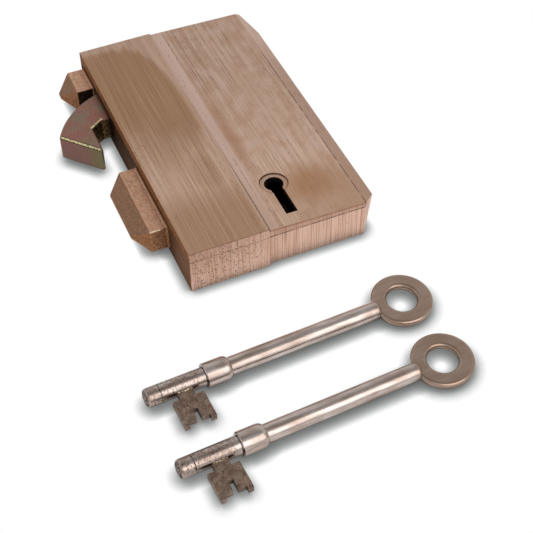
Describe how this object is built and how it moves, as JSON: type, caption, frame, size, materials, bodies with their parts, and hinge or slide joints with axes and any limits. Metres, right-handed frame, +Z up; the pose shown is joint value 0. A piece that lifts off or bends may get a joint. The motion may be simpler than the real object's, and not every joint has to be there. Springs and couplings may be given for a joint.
{
  "type": "gate lock",
  "caption": "Cast bronze gate lock with a swinging hook bolt, a lever mechanism inside and long ring-bow keys.",
  "frame": {"origin": "on the keyhole's axis, in the plane of the case's underside", "axes": "+X from the bolt face to the back edge, +Y along the case towards the hook's end, +Z up through the cover"},
  "size_m": [0.1028, 0.2054, 0.0174],
  "materials": {
    "case_bronze": "cast and linished, dull satin",
    "hook_steel": "yellow-passivated, mottled",
    "key_plate": "nickel-plated, satin",
    "bit_steel": "dull, with rust specks",
    "lever_brass": "stamped",
    "screw_steel": "turned",
    "spring_steel": "polished strip"
  },
  "bodies": {
    "case": {"lower_case": "case_bronze", "cover_plate": "case_bronze", "cover_screws": "screw_steel", "hook_pin": "screw_steel", "lever_post": "screw_steel", "guide_stud": "screw_steel", "lever_washer": "lever_brass", "spring_post": "screw_steel"},
    "slide": {"bolt_slide": "lever_brass", "bolt_stump": "screw_steel", "drive_pin": "screw_steel"},
    "hook": {"hook_bolt": "hook_steel"},
    "lever_1_body": {"lever_1": "lever_brass", "lever_spring_1": "spring_steel"},
    "lever_2_body": {"lever_2": "lever_brass", "lever_spring_2": "spring_steel"},
    "lever_3_body": {"lever_3": "lever_brass", "lever_spring_3": "spring_steel"},
    "lever_4_body": {"lever_4": "lever_brass", "lever_spring_4": "spring_steel"},
    "lever_5_body": {"lever_5": "lever_brass", "lever_spring_5": "spring_steel"},
    "key_1": {"key_1_shank": "key_plate", "key_1_bow": "key_plate", "key_1_bit": "bit_steel"},
    "key_2": {"key_2_shank": "key_plate", "key_2_bow": "key_plate", "key_2_bit": "bit_steel"}
  },
  "joints": [
    {"name": "bolt_throw", "type": "slide", "parent": "case", "child": "slide", "axis": [-1, 0, 0], "range_m": [0, 0.0085]},
    {"name": "hook_swing", "type": "hinge", "parent": "case", "child": "hook", "pos_m": [-0.0292, 0.0457, 0.007], "axis": [0, 0, -1], "range_deg": [0, 58]},
    {"name": "lever_1_lift", "type": "hinge", "parent": "case", "child": "lever_1_body", "pos_m": [-0.016, 0.02, 0.0048], "axis": [0, 0, 1], "range_deg": [0, 12.92], "deforming": ["lever_spring_1"]},
    {"name": "lever_2_lift", "type": "hinge", "parent": "case", "child": "lever_2_body", "pos_m": [-0.016, 0.02, 0.0061], "axis": [0, 0, 1], "range_deg": [0, 10.76], "deforming": ["lever_spring_2"]},
    {"name": "lever_3_lift", "type": "hinge", "parent": "case", "child": "lever_3_body", "pos_m": [-0.016, 0.02, 0.0074], "axis": [0, 0, 1], "range_deg": [0, 13.64], "deforming": ["lever_spring_3"]},
    {"name": "lever_4_lift", "type": "hinge", "parent": "case", "child": "lever_4_body", "pos_m": [-0.016, 0.02, 0.0087], "axis": [0, 0, 1], "range_deg": [0, 11.48], "deforming": ["lever_spring_4"]},
    {"name": "lever_5_lift", "type": "hinge", "parent": "case", "child": "lever_5_body", "pos_m": [-0.016, 0.02, 0.01], "axis": [0, 0, 1], "range_deg": [0, 12.2], "deforming": ["lever_spring_5"]},
    {"name": "key_1_lift", "type": "slide", "parent": "case", "child": "key_1", "axis": [0, 0, 1], "range_m": [0, 0.06]},
    {"name": "key_2_lift", "type": "slide", "parent": "case", "child": "key_2", "axis": [0, 0, 1], "range_m": [0, 0.06]}
  ],
  "couplings": [
    {"joint": "hook_swing", "follows": "bolt_throw", "rad_per_m": 119.09},
    {"joint": "lever_1_lift", "follows": "bolt_throw", "rad_per_m": 26.527},
    {"joint": "lever_2_lift", "follows": "bolt_throw", "rad_per_m": 22.092},
    {"joint": "lever_3_lift", "follows": "bolt_throw", "rad_per_m": 28.007},
    {"joint": "lever_4_lift", "follows": "bolt_throw", "rad_per_m": 23.568},
    {"joint": "lever_5_lift", "follows": "bolt_throw", "rad_per_m": 25.047}
  ]
}
